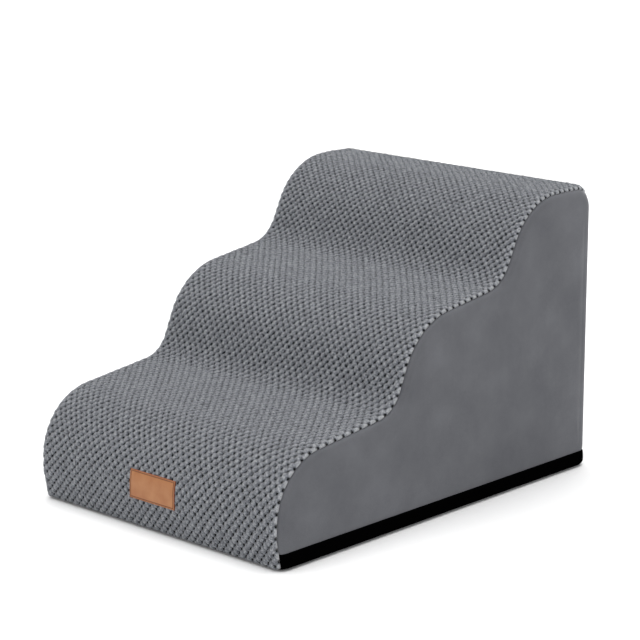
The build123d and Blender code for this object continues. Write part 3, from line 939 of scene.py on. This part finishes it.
def clamp(shape, low, high):
    """A pressed metal stop: a small block whose edges are rounded by a share of its sides."""
    block = bmesh.ops.create_cube(shape, size=1)["verts"]
    edges = list({e for v in block for e in v.link_edges})
    cut = bmesh.ops.bevel(
        shape, geom=edges, offset=STOP_EASE, segments=3, profile=0.5, affect="EDGES", material=-1
    )["verts"]
    verts = list({*cut, *(v for v in block if v.is_valid)})
    bmesh.ops.scale(shape, vec=high - low, verts=verts)
    bmesh.ops.translate(shape, vec=(low + high) / 2, verts=verts)


low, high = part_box("zip_top_stops")
stop_wide = (high.z - low.z - STOP_GAP) / 2
top = bmesh.new()
clamp(top, Vector((low.x, low.y, low.z)), Vector((high.x, high.y, low.z + stop_wide)))
clamp(top, Vector((low.x, low.y, high.z - stop_wide)), Vector((high.x, high.y, high.z)))
set_in_place(finished("pressed_top_stops", top), lacquer, "stairs", "zip_metal", "zip_top_stops")
bottom = bmesh.new()
clamp(bottom, *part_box("zip_bottom_stop"))
set_in_place(finished("pressed_bottom_stop", bottom), lacquer, "stairs", "zip_metal", "zip_bottom_stop")

# The lower row is sewn on the bulging band in black thread, the upper on the back in grey.
low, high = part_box("zip_stitching")
ROW_WIDE = 0.0008
ROW_SUNK = 0.0001


def on_band(u, z):
    """Points on the band's face at a height."""
    return band_place(u, z - FOOT_Z - FOOT_ROUND)


def on_back(u, z):
    """Points just inside the back's face."""
    return np.stack([u, np.full(2, BACK_Y - ROW_SUNK), z], 1)


for name, height, place, thread in (
    ("lower", low.z + ROW_WIDE / 2, on_band, sewing_thread("black_sewing_thread", "141416", "2a2a2d")),
    ("upper", high.z - ROW_WIDE / 2, on_back, sewing_thread("grey_sewing_thread", "4c4d51", "6a6b70")),
):
    seam = stitches(
        f"zip_topstitches_{name}",
        [(low.x, height), (high.x, height)],
        place,
        length=0.0028,
        gap=0.0006,
        thickness=ROW_WIDE,
    )
    stood_for = ("zip_stitching",) if name == "upper" else ()
    set_in_place(seam, thread, "stairs", "zip_thread", *stood_for)

# Camera, light and floor: white studio paper under one wide light from above and a weaker one
# from the front. The camera stands to the right of the front, as far off as the photo's was.

STANDS_AT = 1.94267, -2.06756, 0.9071
FOCAL_PIXELS = 2398.1
IMAGE_PIXELS = 640
LOOKS_DOWN = 0.242714
LOOKS_LEFT = 0.75464
camera = bpy.data.objects.new("camera", bpy.data.cameras.new("camera"))
bpy.context.scene.collection.objects.link(camera)
camera.location = STANDS_AT
camera.rotation_euler = (math.radians(90) - LOOKS_DOWN, 0, LOOKS_LEFT)
camera.data.lens = FOCAL_PIXELS * camera.data.sensor_width / IMAGE_PIXELS
camera.data.clip_end = 100
bpy.context.scene.camera = camera


def soft_light(name, toward, spread, strength):
    """A wide, soft light from far away in one direction, spread over an angle in degrees."""
    light = bpy.data.lights.new(name, "SUN")
    light.energy = strength
    light.angle = math.radians(spread)
    thing = bpy.data.objects.new(name, light)
    bpy.context.scene.collection.objects.link(thing)
    thing.rotation_euler = Vector(toward).to_track_quat("Z", "Y").to_euler()


soft_light("softbox_above", toward=(-0.1, 0.1, 1), spread=70, strength=2.65)
soft_light("softbox_front", toward=(-0.1, -1, 0.6), spread=60, strength=0.34)


def as_background(material):
    """1 for rays that show the background, straight, in a gloss or in glass, and 0 for its light."""
    rays = add(material, "LightPath").outputs
    seen = rays["Is Camera Ray"]
    for kind in ("Is Glossy Ray", "Is Transmission Ray"):
        seen = add(material, "Math", {0: seen, 1: rays[kind]}, operation="MAXIMUM").outputs[0]
    return seen


FLOOR_HALF = 20
PAPER_GLOW = 0.04
ground = bmesh.new()
bmesh.ops.create_grid(ground, x_segments=1, y_segments=1, size=FLOOR_HALF)
floor = finished("studio_floor", ground)

# White studio paper: matt and even, and lifted to plain white where it is seen.
paper, shader = finish_named("white_studio_paper", {"Roughness": 0.9, "Base Color": linear("fcfcfc")})
glow = add(paper, "Math", {0: as_background(paper), 1: PAPER_GLOW}, operation="MULTIPLY")
join(paper, shader, {"Emission Color": (1, 1, 1, 1), "Emission Strength": glow.outputs[0]})
give(floor, paper)

SKY_LIGHT = 0.55
SKY_SEEN = 1.0
world = bpy.data.worlds.new("studio")
world.use_nodes = True
bpy.context.scene.world = world
strength = add(world, "Mix", {0: as_background(world), 2: SKY_LIGHT, 3: SKY_SEEN})
join(world, world.node_tree.nodes["Background"], {"Color": (1, 1, 1, 1), "Strength": strength.outputs[0]})
bpy.context.scene.view_settings.view_transform = "Standard"
